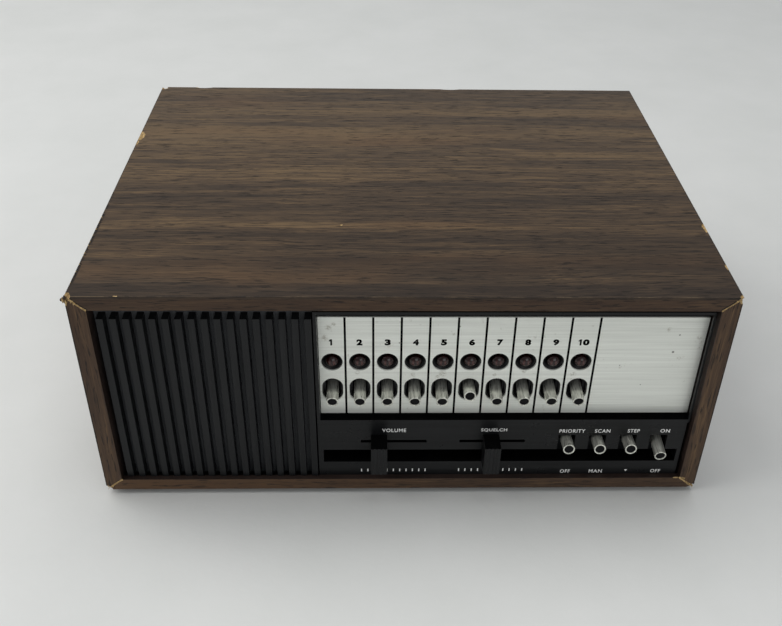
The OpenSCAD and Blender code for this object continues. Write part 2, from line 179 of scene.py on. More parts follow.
WALNUT_DARK = (0.034, 0.0240, 0.0178)
WALNUT_DEEP = (0.055, 0.0375, 0.0250)
WALNUT_MID = (0.086, 0.0560, 0.0335)
WALNUT_LIGHT = (0.165, 0.107, 0.055)
WALNUT_BLUSH = (0.148, 0.082, 0.039)
WALNUT_RED = (0.14, 0.05, 0.015)
WALNUT_SHEEN_GREY = (0.085, 0.078, 0.072)
WALNUT_PORE_AND_SHADE = (0.010, 0.0075, 0.0060)
WALNUT_WORN = (0.22, 0.155, 0.09)
# where along the grain's tone each of the first four colours stands
WALNUT_STOPS = [
    (0.40, WALNUT_DARK),
    (0.47, WALNUT_DEEP),
    (0.53, WALNUT_MID),
    (0.62, WALNUT_LIGHT),
]
SHEEN_RISE_HALF = 110  # how far behind the front the lid's quick rise in tone and painted sheen ends
SHEEN_GREY_START = 40  # how far behind the front the lid's painted sheen begins to turn it grey


def walnut(name, along, lift):
    """Printed walnut-grain vinyl, its grain along one axis. A higher lift makes a paler tone."""
    s = Shader(name)
    axis = "xyz".index(along)

    def grain(run, across):
        """Repeats a metre, given along the grain and across it."""
        return tuple(run if i == axis else across for i in range(3))

    # the grain wanders slowly to either side
    drift = s.noise(s.stretched(grain(5, 14)), 2.0)
    drift = s.math("MULTIPLY", s.math("SUBTRACT", drift, 0.5), 0.010)
    combine = s.node("ShaderNodeCombineXYZ")
    for i in range(3):
        if i != axis:
            s.feed(combine.inputs[i], drift)
    moved = s.node("ShaderNodeVectorMath", operation="ADD")
    s.feed(moved.inputs[0], s.place)
    s.feed(moved.inputs[1], combine.outputs["Vector"])
    place = moved.outputs["Vector"]

    bands = s.noise(s.stretched(grain(2.6, 70), source=place), 2.0, 0.55)
    streaks = s.noise(s.stretched(grain(12, 420), source=place), 4.0, 0.7)
    fibres = s.noise(s.stretched(grain(50, 1250), source=place), 3.0, 0.7)
    pores = s.noise(s.stretched(grain(100, 1150), (0.3, 0.7, 0.1), place), 2.0, 0.6)
    blush = s.noise(s.stretched(grain(6, 30), (0.9, 0.2, 0.5), place), 2.0, 0.5)

    tone = s.math("ADD", s.math("MULTIPLY", bands, 0.32), s.math("MULTIPLY", streaks, 0.32))
    tone = s.math("ADD", tone, s.math("MULTIPLY", fibres, 0.36))
    x, y, z = s.axes()
    tone = s.math("ADD", tone, lift)
    # darker at the lid's front, paler towards its back: partly the print's own band, mostly painted
    # sheen
    on_top = s.span(z, (TOP_HIGH.z - 2) * MM, (TOP_HIGH.z - 0.5) * MM)
    near_half = s.span(y, FRONT * MM, (FRONT + SHEEN_RISE_HALF) * MM, -0.055, 0.060)
    far_half = s.span(y, (FRONT + SHEEN_RISE_HALF) * MM, BACK * MM, 0.0, 0.028)
    # and a little paler towards the left
    leftward = s.span(x, LEFT_LOW.x * MM, 0.0, 0.022, 0.0)
    lid_tone_and_sheen = s.math("ADD", leftward, s.math("ADD", near_half, far_half))
    tone = s.math("ADD", tone, s.math("MULTIPLY", on_top, lid_tone_and_sheen))
    ramp = s.node("ShaderNodeValToRGB")
    while len(ramp.color_ramp.elements) < len(WALNUT_STOPS):
        ramp.color_ramp.elements.new(0.5)
    for element, (position, colour) in zip(ramp.color_ramp.elements, WALNUT_STOPS):
        element.position = position
        element.color = (*colour, 1.0)
    s.feed(ramp.inputs["Fac"], tone)
    colour = s.mix(s.span(blush, 0.54, 0.72, 0.0, 0.5), ramp.outputs["Color"], WALNUT_BLUSH)
    # away from the lid's top the print is a little redder
    reddish = s.math("MULTIPLY", s.math("SUBTRACT", 1.0, on_top), 0.14)
    colour = s.mix(reddish, colour, WALNUT_RED)
    # painted sheen: the lid turns greyer towards the back
    painted_sheen_grey = s.span(y, (FRONT + SHEEN_GREY_START) * MM, BACK * MM, 0.0, 0.30)
    colour = s.mix(s.math("MULTIPLY", on_top, painted_sheen_grey), colour, WALNUT_SHEEN_GREY)
    pore_mask = s.span(pores, 0.57, 0.64)
    colour = s.mix(s.math("MULTIPLY", pore_mask, 0.72), colour, WALNUT_PORE_AND_SHADE)
    # the lid's left edge has split in a broken dark line near the front
    edge = s.span(x, (LEFT_LOW.x + 1.1) * MM, (LEFT_LOW.x + 1.9) * MM, 1.0, 0.0)
    starts = s.span(y, (FRONT + 5) * MM, (FRONT + 12) * MM)
    ends = s.span(y, (FRONT + 72) * MM, (FRONT + 100) * MM, 1.0, 0.0)
    stretch = s.math("MULTIPLY", starts, ends)
    broken = s.span(s.noise(s.stretched((300, 420, 300)), 3.0, 0.7), 0.42, 0.50)
    dark_line = s.math("MULTIPLY", edge, stretch)
    dark_line = s.math("MULTIPLY", dark_line, s.math("MULTIPLY", broken, on_top))
    colour = s.mix(dark_line, colour, WALNUT_PORE_AND_SHADE)
    # painted shade: a dark line along the rounded outer edges of the front and the lid, where they
    # turn away from the light
    outer = s.span(s.math("ABSOLUTE", x), (RIGHT_HIGH.x - 0.8) * MM, (RIGHT_HIGH.x - 0.35) * MM)
    at_front = s.span(y, (FRONT + 0.2) * MM, (FRONT + 0.5) * MM, 1.0, 0.0)
    at_top = s.span(z, (TOP_HIGH.z - 0.35) * MM, (TOP_HIGH.z - 0.1) * MM)
    painted_edge_shade = s.math("MULTIPLY", outer, s.math("MAXIMUM", at_front, at_top))
    colour = s.mix(s.math("MULTIPLY", painted_edge_shade, 0.75), colour, WALNUT_PORE_AND_SHADE)
    # the print is rubbed through along the cabinet's upper front edge
    foremost = s.span(y, (FRONT + 0.15) * MM, (FRONT + 0.45) * MM, 1.0, 0.0)
    uppermost = s.span(z, (TOP_HIGH.z - 0.45) * MM, (TOP_HIGH.z - 0.15) * MM)
    patches = s.span(s.noise(s.stretched((60, 60, 60)), 4.0, 0.7), 0.50, 0.66, 0.0, 0.45)
    rubbed = s.math("MULTIPLY", s.math("MULTIPLY", foremost, uppermost), patches)
    colour = s.mix(rubbed, colour, WALNUT_WORN)
    s.set(Base_Color=colour, Specular_IOR_Level=0.22)
    s.set(Roughness=s.span(fibres, 0.3, 0.7, 0.42, 0.55))
    height = s.math("SUBTRACT", s.math("MULTIPLY", fibres, 0.5), pore_mask)
    s.bump(height, 0.05, 0.5)
    return s.material


def raw_board():
    """Bare chipboard where the vinyl has chipped off."""
    s = Shader("raw_board")
    flakes = s.noise(s.stretched((900, 900, 900)), 4.0, 0.7)
    colour = s.mix(s.span(flakes, 0.35, 0.65), (0.25, 0.160, 0.07), (0.66, 0.48, 0.23))
    s.set(Base_Color=colour, Roughness=0.85)
    s.bump(flakes, 0.35)
    return s.material


DUST = (0.30, 0.30, 0.28)


def black_plastic(name, colour, roughness, streak, dust=0.35):
    """Half-gloss black plastic, with fine streaks along one axis and a little dust."""
    s = Shader(name)
    axis = "xyz".index(streak)
    lines = s.noise(s.stretched(tuple(18 if i == axis else 700 for i in range(3))), 3.0, 0.6)
    cloud = s.noise(s.stretched((90, 90, 90)), 3.0, 0.6)
    specks = s.node("ShaderNodeTexVoronoi")
    s.feed(specks.inputs["Vector"], s.stretched((260, 260, 260)))
    specks.inputs["Scale"].default_value = 1.0
    spot = s.span(specks.outputs["Distance"], 0.02, 0.055, 1.0, 0.0)
    rare = s.span(cloud, 0.50, 0.62)
    mask = s.math("MULTIPLY", s.math("MULTIPLY", spot, rare), dust)
    lifted = tuple(c * 1.7 for c in colour)
    base = s.mix(s.span(lines, 0.35, 0.7), colour, lifted)
    s.set(Base_Color=s.mix(mask, base, DUST), Specular_IOR_Level=0.22)
    gloss = s.math("ADD", s.span(cloud, 0.35, 0.7, -0.04, 0.08), roughness)
    s.set(Roughness=s.math("ADD", gloss, s.math("MULTIPLY", mask, 0.5)))
    height = s.math("ADD", s.math("MULTIPLY", lines, 0.6), s.math("MULTIPLY", cloud, 0.8))
    s.bump(height, 0.025, 0.6)
    return s.material


# marks on the plate, each with its x, its z and its radius
PLATE_STAINS = [
    (-34.7, 95.5, 2.0), (-36.4, 89.8, 2.2), (-32.2, 97.2, 1.4), (3.6, 68.5, 1.6),
    (17.5, 69.2, 2.4), (15.2, 67.4, 1.4), (118.5, 94.5, 1.6), (78.0, 68.8, 1.8),
    (-22.0, 70.0, 1.4), (55.0, 70.5, 1.3), (41.5, 68.5, 1.2), (133.0, 90.0, 1.5),
]
PLATE_SPECKS = [
    (24.0, 96.2, 0.55), (122.4, 81.8, 0.75), (123.8, 91.5, 0.5),
    (-2.8, 87.0, 0.4), (99.0, 74.0, 0.35), (110.5, 62.5, 0.35),
]


def brushed_aluminium():
    """Brushed along X, with a few stains and specks."""
    s = Shader("brushed_aluminium")
    brush = s.noise(s.stretched((22, 2400, 2400)), 4.0, 0.7)
    coarse = s.noise(s.stretched((14, 1000, 1000)), 3.0, 0.7)
    cloud = s.noise(s.stretched((60, 60, 60)), 4.0, 0.65)
    stain = s.noise(s.stretched((330, 330, 330), (0.4, 0.1, 0.6)), 3.0, 0.6)
    stain_mask = s.math("MULTIPLY", s.span(stain, 0.63, 0.75), s.span(cloud, 0.50, 0.60))
    ragged = s.span(s.noise(s.stretched((900, 900, 1500)), 3.0, 0.7), 0.42, 0.58)
    for x, z, size in PLATE_STAINS:
        stain_mask = s.math("MAXIMUM", stain_mask, s.math("MULTIPLY", s.blot(x, z, size), ragged))
    specks = 0.0
    for x, z, size in PLATE_SPECKS:
        specks = s.math("MAXIMUM", specks, s.blot(x, z, size))
    metal = s.mix(s.span(coarse, 0.3, 0.7), (0.74, 0.755, 0.70), (0.90, 0.92, 0.86))
    colour = s.mix(s.math("MULTIPLY", stain_mask, 0.55), metal, (0.22, 0.18, 0.11))
    colour = s.mix(specks, colour, (0.05, 0.045, 0.035))
    tangent = s.node("ShaderNodeTangent", direction_type="RADIAL", axis="Z")
    s.set(Base_Color=colour, Metallic=0.2, Specular_IOR_Level=0.3)
    s.set(Anisotropic=0.85, Tangent=tangent.outputs["Tangent"])
    polish = s.span(brush, 0.25, 0.75, 0.34, 0.46)
    s.set(Roughness=s.math("ADD", polish, s.math("MULTIPLY", stain_mask, 0.2)))
    s.bump(s.math("ADD", brush, s.math("MULTIPLY", coarse, 0.4)), 0.012, 0.7)
    return s.material


def plating(name, colour, roughness, wear, metallic=1.0):
    """Bright plating, with darker streaks along its length as painted reflections, and darker worn
    patches.
    """
    s = Shader(name)
    patches = s.noise(s.stretched((420, 180, 420)), 4.0, 0.6)
    lines = s.noise(s.stretched((1100, 50, 1100)), 3.0, 0.6)
    worn = s.math("MULTIPLY", s.span(patches, 0.50, 0.70), wear)
    # painted reflection: darker streaks in the colour
    painted_reflection_dark = tuple(c * 0.62 for c in colour)
    painted_reflection_streaked = s.mix(s.span(lines, 0.40, 0.58), painted_reflection_dark, colour)
    s.set(Base_Color=s.mix(worn, painted_reflection_streaked, (0.22, 0.20, 0.15)), Metallic=metallic)
    polish = s.span(lines, 0.3, 0.7, roughness * 0.9, roughness * 1.1)
    s.set(Roughness=s.math("ADD", polish, worn))
    s.bump(s.math("ADD", patches, s.math("MULTIPLY", lines, 0.4)), 0.002, 0.3)
    return s.material


def matte(name, colour, grain, roughness, depth=0.05, metallic=0.0, shine=0.5):
    """A plain moulded, painted or cast surface with a fine even grain."""
    s = Shader(name)
    fine = s.noise(s.stretched((grain, grain, grain)), 4.0, 0.6)
    broad = s.noise(s.stretched((grain / 14, grain / 14, grain / 14)), 2.0, 0.5)
    dark = tuple(c * 0.72 for c in colour)
    light = tuple(min(1.0, c * 1.3) for c in colour)
    blend = s.math("ADD", s.math("MULTIPLY", fine, 0.5), s.math("MULTIPLY", broad, 0.5))
    s.set(Base_Color=s.mix(s.span(blend, 0.35, 0.65), dark, light))
    s.set(Metallic=metallic, Specular_IOR_Level=shine)
    s.set(Roughness=s.span(broad, 0.3, 0.7, roughness * 0.9, min(1.0, roughness * 1.15)))
    s.bump(fine, depth)
    return s.material


def lens_red():
    """Dark red lens, with a painted highlight ring round a black middle, for its inner hollow seen
    through it.
    """
    s = Shader("lens_red")
    x, _, z = s.axes()
    step = s.math("DIVIDE", s.math("SUBTRACT", x, LAMP_X[0] * MM), PITCH * MM)
    from_centre = s.math("MULTIPLY", s.math("SUBTRACT", step, s.math("ROUND", step)), PITCH * MM)
    height = s.math("SUBTRACT", z, LAMP_Z * MM)
    squares = s.math("ADD", s.math("POWER", from_centre, 2.0), s.math("POWER", height, 2.0))
    radius = s.math("SQRT", squares)
    inner = s.span(radius, 0.35 * MM, 0.75 * MM)
    outer = s.span(radius, 1.1 * MM, 1.9 * MM, 1.0, 0.0)
    ring = s.math("MULTIPLY", inner, outer)
    # painted highlights: the ring is brighter at its left and right sides
    side = s.span(s.math("ABSOLUTE", from_centre), 0.3 * MM, 1.0 * MM)
    ring = s.math("MULTIPLY", ring, side)
    cloud = s.noise(s.stretched((700, 700, 700)), 3.0)
    red = s.mix(s.span(cloud, 0.3, 0.7), (0.010, 0.0018, 0.0018), (0.022, 0.0035, 0.0032))
    s.set(Base_Color=s.mix(ring, red, (0.085, 0.030, 0.027)))
    s.set(Roughness=0.22, Specular_IOR_Level=0.35)
    s.set(Coat_Weight=0.25, Coat_Roughness=0.05)
    s.bump(cloud, 0.01, 0.4)
    return s.material


def printed(name, colour, shine):
    """Screen-printed ink."""
    s = Shader(name)
    worn = s.noise(s.stretched((1400, 1400, 1400)), 3.0, 0.6)
    s.set(Base_Color=s.mix(s.span(worn, 0.3, 0.7), tuple(c * 0.8 for c in colour), colour))
    s.set(Roughness=0.6, Specular_IOR_Level=shine)
    s.bump(worn, 0.01, 0.4)
    return s.material


def circuit_board():
    """Brown resin board with tinned tracks printed through it."""
    s = Shader("circuit_board")
    tracks = s.node("ShaderNodeTexBrick")
    s.feed(tracks.inputs["Vector"], s.stretched((60, 60, 60)))
    tracks.inputs["Scale"].default_value = 1.0
    tracks.inputs["Mortar Size"].default_value = 0.035
    weave = s.noise(s.stretched((900, 900, 900)), 2.0)
    resin = s.mix(s.span(weave, 0.3, 0.7), (0.20, 0.12, 0.045), (0.29, 0.18, 0.07))
    s.set(Base_Color=s.mix(tracks.outputs["Fac"], resin, (0.36, 0.28, 0.10)), Roughness=0.45)
    s.bump(tracks.outputs["Fac"], 0.05)
    return s.material


def table_top():
    """A pale, slightly mottled table, for the stage only."""
    s = Shader("table_top")
    mottle = s.noise(s.stretched((14, 14, 14)), 5.0, 0.6)
    colour = s.mix(s.span(mottle, 0.3, 0.7), (0.69, 0.70, 0.685), (0.73, 0.737, 0.725))
    s.set(Base_Color=colour, Roughness=0.7)
    s.bump(s.noise(s.stretched((240, 240, 240)), 3.0), 0.3, 0.3)
    return s.material


BLACK = (0.0062, 0.0064, 0.0069)
walnut_x = walnut("walnut_along_x", "x", -0.030)
walnut_z = walnut("walnut_along_z", "z", -0.008)
bare = raw_board()
inner_vinyl = matte("board_inside", (0.020, 0.010, 0.007), 700, 0.55)
split = matte("vinyl_split", (0.008, 0.006, 0.005), 1200, 0.8)
bezel_black = black_plastic("bezel_black", BLACK, 0.30, "x")
grille_black = black_plastic("grille_black", (0.0070, 0.0074, 0.0080), 0.34, "z", 0.6)
# a lighter grey for the sheet between the bars: painted light where the bars shade it
grille_painted_light = black_plastic("grille_painted_light", (0.040, 0.0420, 0.0455), 0.5, "z", 0.6)
knob_black = black_plastic("knob_black", BLACK, 0.33, "z")
lever_black = matte("lever_black", (0.0045, 0.0045, 0.0055), 1500, 0.6, shine=0.12)
# a darker black with no shine, for faces that look up: painted shade
painted_shade_black = matte("painted_shade_black", (0.0028, 0.0028, 0.003), 1500, 0.75, 0.03, shine=0.0)
alloy = brushed_aluminium()
chrome = plating("lever_chrome", (0.95, 0.95, 0.86), 0.29, 0.20, 0.78)
ink_black = printed("ink_black", (0.003, 0.003, 0.003), 0.0)
ink_white = printed("ink_white", (0.97, 0.97, 0.95), 0.4)
glass = matte("bulb_glass", (0.55, 0.50, 0.38), 1500, 0.2)
zinc = plating("zinc_plate", (0.58, 0.59, 0.57), 0.32, 0.2)
nickel = plating("nickel", (0.72, 0.70, 0.64), 0.24, 0.2)
PAINTS = {
    "red_lens": lens_red(),
    "bulb_glass": glass,
    "lever_plastic": lever_black,
    "lever_chrome": chrome,
    "switch_plastic": matte("switch_plastic", (0.030, 0.031, 0.034), 1300, 0.5),
    "plated_steel": zinc,
    "cone_paper": matte("cone_paper", (0.06, 0.045, 0.035), 1600, 0.9, 0.1),
    "magnet_iron": matte("magnet_iron", (0.11, 0.11, 0.115), 1100, 0.55, 0.1, 0.6),
    "rear_paint": matte("rear_paint", (0.022, 0.023, 0.025), 1500, 0.5, 0.12),
    "board_phenolic": circuit_board(),
    "crystal_can": plating("crystal_can", (0.66, 0.66, 0.63), 0.28, 0.25),
    "transformer_iron": matte("transformer_iron", (0.075, 0.052, 0.038), 1000, 0.5),
    "capacitor_sleeve": matte("capacitor_sleeve", (0.03, 0.08, 0.20), 700, 0.3, 0.02),
    "jack_metal": nickel,
    "jack_plastic": matte("jack_plastic", (0.016, 0.016, 0.017), 1300, 0.45),
    "foot_rubber": matte("foot_rubber", (0.018, 0.018, 0.018), 1200, 0.8, 0.1),
}


# ---------------------------------------------------------------- building


def finish_piece(piece, node, materials, slot=None):
    """Puts a finished object on the body of a CAD node, with its materials. The slot argument is not
    used.
    """
    for material in materials:
        piece.data.materials.append(material)
    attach(piece, BODY_OF[node])
    slot or SLOT_OF[node]
    return piece


def object_from(bm, name, smooth_below=32):
    """A linked object from a bmesh, smooth except at edges sharper than an angle in degrees."""
    limit = math.radians(smooth_below)
    bm.normal_update()
    for face in bm.faces:
        face.smooth = True
    for edge in bm.edges:
        sharp = len(edge.link_faces) != 2 or edge.calc_face_angle(0.0) > limit
        edge.smooth = not sharp
    mesh = bpy.data.meshes.new(name)
    bm.to_mesh(mesh)
    bm.free()
    piece = bpy.data.objects.new(name, mesh)
    bpy.context.scene.collection.objects.link(piece)
    return piece


def eased(bm, width, segments):
    """Rounds every edge sharper than 30 degrees, by a width in millimetres."""
    limit = math.radians(30)
    bm.normal_update()
    sharp = [e for e in bm.edges if len(e.link_faces) == 2 and e.calc_face_angle(0.0) > limit]
    bmesh.ops.bevel(
        bm,
        geom=sharp,
        offset=width * MM,
        segments=segments,
        profile=0.6,
        affect="EDGES",
        clamp_overlap=True,
    )


# how far behind the cabinet's front the sheet between the grille's bars lies, at least
SHEET_DEPTH = 5.0


def looks_up(face):
    """Whether a face looks upwards."""
    return face.normal.z > 0.9


def between_bars(face):
    """Whether a face of the grille looks to the front from behind the bars' front faces."""
    deep = face.calc_center_median().y > (FRONT + SHEET_DEPTH) * MM
    return deep and face.normal.y < -0.9


def refined(name, node, width, materials, segments=2, second=looks_up):
    """Stands for a CAD node: the same shape with its edges eased.

    Where there are two materials, the second goes on the faces that the test called second picks.
    """
    bm = bmesh.new()
    bm.from_mesh(frame["nodes"][node].data)
    bmesh.ops.remove_doubles(bm, verts=bm.verts, dist=0.002 * MM)
    bmesh.ops.dissolve_limit(bm, angle_limit=math.radians(0.8), verts=bm.verts, edges=bm.edges)
    eased(bm, width, segments)
    bm.normal_update()
    for face in bm.faces:
        face.material_index = int(len(materials) > 1 and second(face))
    piece = finish_piece(object_from(bm, name), node, materials)
    flat_faces = piece.modifiers.new("flat_faces", "WEIGHTED_NORMAL")
    flat_faces.keep_sharp = True
    applied(piece)
    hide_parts(node)
    return piece


def repainted(node, material):
    """A CAD node that keeps its shape and gets its real material."""
    item = frame["nodes"][node]
    item.data.materials.clear()
    item.data.materials.append(material)


def applied(piece):
    """Turns an object's modifiers into its mesh."""
    graph = bpy.context.evaluated_depsgraph_get()
    mesh = bpy.data.meshes.new_from_object(piece.evaluated_get(graph))
    piece.modifiers.clear()
    piece.data = mesh


# ---------------------------------------------------------------- cabinet

CORNER_R = 0.6  # radius of the long outer corners
EDGE_W = 0.35  # width of the eased front and back rims
# The cabinet's outer and inner corners seen from the front, each (x, z).
# Here and in every list by corner: lower left, lower right, upper right, upper left.
OUTER = [
    Vector((LEFT_LOW.x, UNDER)),
    Vector((RIGHT_HIGH.x, UNDER)),
    Vector((RIGHT_HIGH.x, TOP_HIGH.z)),
    Vector((LEFT_LOW.x, TOP_HIGH.z)),
]
INNER = [
    Vector((LEFT_HIGH.x, BOTTOM_HIGH.z)),
    Vector((RIGHT_LOW.x, BOTTOM_HIGH.z)),
    Vector((RIGHT_LOW.x, TOP_LOW.z)),
    Vector((LEFT_HIGH.x, TOP_LOW.z)),
]
# radius of the bare line at each front mitre
MITRE_R = [0.60, 0.75, 0.50, 0.62]
MITRE_SEED = 40
# where the lid's front mitres have opened: the corner, and how far aside of the mitre
GAPS = [(2, 0.65), (3, -0.70)]
GAP_R = 0.38
GAP_SEED = 50
# the part of the bottom board that is cut away from above, behind its front
REBATE_FRONT = 3.0
REBATE_BACK = 16.0
REBATE_FLOOR = 3.5
BOTTOM_REBATE = [
    Vector((INNER[0].x, FRONT + REBATE_FRONT, UNDER + REBATE_FLOOR)),
    Vector((INNER[1].x, FRONT + REBATE_BACK, BOTTOM_HIGH.z + 1)),
]


def board_outline(a, b):
    """The section of the board between outer corners a and b, which are rounded."""
    along = (OUTER[b] - OUTER[a]).normalized()
    out = Vector((along.y, -along.x))
    arc = [math.radians(15 * i) for i in range(4)]
    points = [INNER[a]]
    for corner, way, angles in ((OUTER[a], -along, reversed(arc)), (OUTER[b], along, arc)):
        centre = corner - way * CORNER_R - out * CORNER_R
        for t in angles:
            points.append(centre + (out * math.cos(t) + way * math.sin(t)) * CORNER_R)
    return points + [INNER[b]]


def chip_cutters(name, chips, seed):
    """Ragged lumps, each [x, y, z, half-size along x, y, z], mostly to bite chips out of a board."""
    random.seed(seed)
    bm = bmesh.new()
    for x, y, z, *size in chips:
        lump = bmesh.ops.create_icosphere(bm, subdivisions=2, radius=1.0)["verts"]
        shift = Vector([random.uniform(0, 50) for _ in range(3)])
        middle = Vector((x, y, z)) * MM
        for v in lump:
            ragged = 1 + 0.35 * noise.noise(v.co * 1.8 + shift)
            v.co = middle + Vector([c * s * MM * ragged for c, s in zip(v.co, size)])
    return object_from(bm, name, 10)


def mitre_cutter(name, corner, seed, radius, aside=0.0):
    """A ragged rod along one front mitre, or a little aside of it, that cuts a line into a board."""
    random.seed(seed + corner)
    # it runs a little past both ends of the mitre
    start = OUTER[corner] - (INNER[corner] - OUTER[corner]) * 0.06
    run = (INNER[corner] - OUTER[corner]) * 1.08
    bm = bmesh.new()
    rings = []
    steps, sides = 26, 8
    across = Vector((run.y, -run.x)).normalized()
    for i in range(steps + 1):
        t = i / steps
        at = start + run * t + across * (aside + 0.08 * math.sin(7 * t + corner))
        r = radius * (0.6 + 0.4 * abs(math.cos(2.2 * t))) * random.uniform(0.85, 1.1)
        ring = []
        for k in range(sides):
            turn = math.tau * k / sides
            flat = at + across * r * math.cos(turn)
            depth = FRONT + r * 0.8 * math.sin(turn)
            ring.append(bm.verts.new(Vector((flat.x, depth, flat.y)) * MM))
        rings.append(ring)
    for low, high in zip(rings, rings[1:]):
        for k in range(sides):
            m = (k + 1) % sides
            bm.faces.new((low[k], low[m], high[m], high[k]))
    bm.faces.new(rings[0][::-1])
    bm.faces.new(rings[-1])
    bmesh.ops.recalc_face_normals(bm, faces=bm.faces)
    return object_from(bm, name, 10)


def board(name, node, a, b, skin, chips, seed):
    """One mitred cabinet board, with bare lines at its front mitres and ragged chips."""
    bm = bmesh.new()
    outline = board_outline(a, b)
    ends = []
    for y in (FRONT, BACK):
        ends.append([bm.verts.new((p.x * MM, y * MM, p.y * MM)) for p in outline])
    count = len(outline)
    for i in range(count):
        j = (i + 1) % count
        bm.faces.new((ends[0][i], ends[0][j], ends[1][j], ends[1][i]))
    caps = [bm.faces.new(ends[0][::-1]), bm.faces.new(ends[1])]
    rims = [e for cap in caps for e in cap.edges]
    bmesh.ops.recalc_face_normals(bm, faces=bm.faces)
    bmesh.ops.bevel(
        bm,
        geom=rims,
        offset=EDGE_W * MM,
        segments=2,
        profile=0.5,
        affect="EDGES",
        clamp_overlap=True,
    )
    mitres = [(OUTER[k], (INNER[k] - OUTER[k]).normalized()) for k in (a, b)]
    on_mitre = 0.02
    # the vinyl has index 0, the bare board 1 and the inside 2
    for face in bm.faces:
        middle = face.calc_center_median() / MM
        flat = Vector((middle.x, middle.z))
        off = min(abs((flat - p).cross(way)) for p, way in mitres)
        if off < on_mitre:
            face.material_index = 1
        elif is_inside(flat):
            face.material_index = 2
    piece = object_from(bm, name, 25)
    finish_piece(piece, node, [skin, bare, inner_vinyl])
    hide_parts(node)
    for corner in (a, b):
        carve(piece, mitre_cutter(name + "_mitre", corner, MITRE_SEED, MITRE_R[corner]), bare)
    carve(piece, chip_cutters(name + "_chips", chips, seed), bare)
    return piece


def is_inside(point):
    """Whether a point lies on the sleeve's inner faces."""
    near = 0.05
    wide = INNER[0].x - near < point.x < INNER[1].x + near
    high = INNER[0].y - near < point.y < INNER[2].y + near
    return wide and high


def carve(piece, cutters, material):
    """Cuts one object's shape out of another. The new faces take the cutter's material."""
    cutters.data.materials.append(material)
    cut = piece.modifiers.new("cut", "BOOLEAN")
    cut.operation = "DIFFERENCE"
    cut.object = cutters
    cut.solver = "MANIFOLD"
    cut.material_mode = "TRANSFER"
    applied(piece)
    piece.data.shade_flat()
    bpy.data.objects.remove(cutters)


def edge_nicks(count, seed, x, y_span, z, size, run=1.15):
    """Small nicks spread unevenly along a front-to-back edge, as a list for chip_cutters.

    Half of each one's length is about run, and half of its width and depth about size.
    """
    random.seed(seed)
    low, high = y_span
    step = (high - low) / count
    nicks = []
    for i in range(count):
        y = low + step * (i + random.uniform(0.1, 0.9))
        half_width = size * random.uniform(0.6, 1.3)
        half_length = run * random.uniform(0.45, 1.55)
        nicks.append([x, y, z, half_width, half_length, size])
    return nicks


def cabinet():
    """The four mitred boards, chipped and split as far as each has worn."""
    left, right = OUTER[0].x, OUTER[1].x
    top, low = OUTER[2].y, OUTER[0].y
    top_chips = [
        [left, FRONT + 158, top, 2.9, 6.0, 1.8],
        [left, FRONT + 149, top, 1.5, 3.5, 1.0],
        [left, BACK - 1, top, 4.0, 2.8, 1.6],
        [left + 26, BACK, top, 5.0, 1.2, 0.8],
        [32, BACK, top, 5.5, 1.0, 0.8],
        [right, FRONT + 59, top, 1.8, 4.6, 1.4],
        [right, FRONT + 24, top, 1.1, 2.6, 1.0],
        [left + 0.4, FRONT + 0.6, top - 0.2, 2.4, 2.6, 2.0],
        [right, FRONT, top, 2.0, 1.8, 1.4],
        [left + 21.6, FRONT + 0.2, top, 1.1, 0.35, 0.12],
        [-30.0, FRONT + 60.6, top, 0.65, 0.65, 0.3],
    ] + edge_nicks(9, 5, right, (FRONT + 8, BACK), top, 0.35)
    side_chips = [
        [left, FRONT, low, 1.8, 1.6, 2.6],
        [left, FRONT, top - 2, 1.8, 1.8, 2.4],
        [left, FRONT + 40, low, 1.0, 3.0, 1.2],
        [left, BACK, top - 30, 1.0, 1.4, 3.0],
    ]
    right_chips = [
        [right - 0.8, FRONT, low + 0.3, 3.4, 2.6, 2.1],
        [right - 7.0, FRONT, low + 5.6, 1.8, 0.9, 1.4],
        [right, FRONT, top - 2, 1.4, 1.6, 1.6],
        [right, BACK, low + 30, 1.0, 1.4, 3.0],
    ]
    bottom_chips = [
        [left + 1, FRONT, low, 2.4, 1.8, 1.4],
        [right - 2.0, FRONT, low, 1.4, 1.2, 0.7],
        [right - 10.0, FRONT, low + 6.6, 1.6, 0.6, 0.5],
        [left + 8.0, FRONT, low + 6.3, 0.8, 0.5, 0.5],
    ]
    lid = board("top_board", "cabinet_top", 2, 3, walnut_x, top_chips, 11)
    splits = edge_nicks(13, 3, left, (FRONT + 9, FRONT + 74), top, 0.9, 0.8)
    carve(lid, chip_cutters("top_board_splits", splits, 15), split)
    for corner, aside in GAPS:
        carve(lid, mitre_cutter("top_board_gap", corner, GAP_SEED, GAP_R, aside), split)
    board("left_board", "cabinet_left", 3, 0, walnut_z, side_chips, 12)
    board("right_board", "cabinet_right", 1, 2, walnut_z, right_chips, 13)
    bottom = board("bottom_board", "cabinet_bottom", 0, 1, walnut_x, bottom_chips, 14)
    rebate = bmesh.new()
    low_end, high_end = BOTTOM_REBATE
    size = Vector((high_end - low_end)) * MM
    middle = (high_end + low_end) / 2 * MM
    placing = Matrix.Translation(middle) @ Matrix.Diagonal((*size, 1.0))
    bmesh.ops.create_cube(rebate, size=1.0, matrix=placing)
    carve(bottom, object_from(rebate, "rebate"), inner_vinyl)
    splinters()


# how many splinters stand out of each front corner
SPLINTERS = [5, 12, 5, 5]
# the directions they take, as the least and most of x, y and z
SPLINTER_WAYS = [(-1, 1), (-0.7, 0.1), (-1, 1)]
# shares of a splinter's length, each with its half-width there
SPLINTER_RINGS = [(0.0, 0.26), (0.45, 0.20), (1.0, 0.06)]


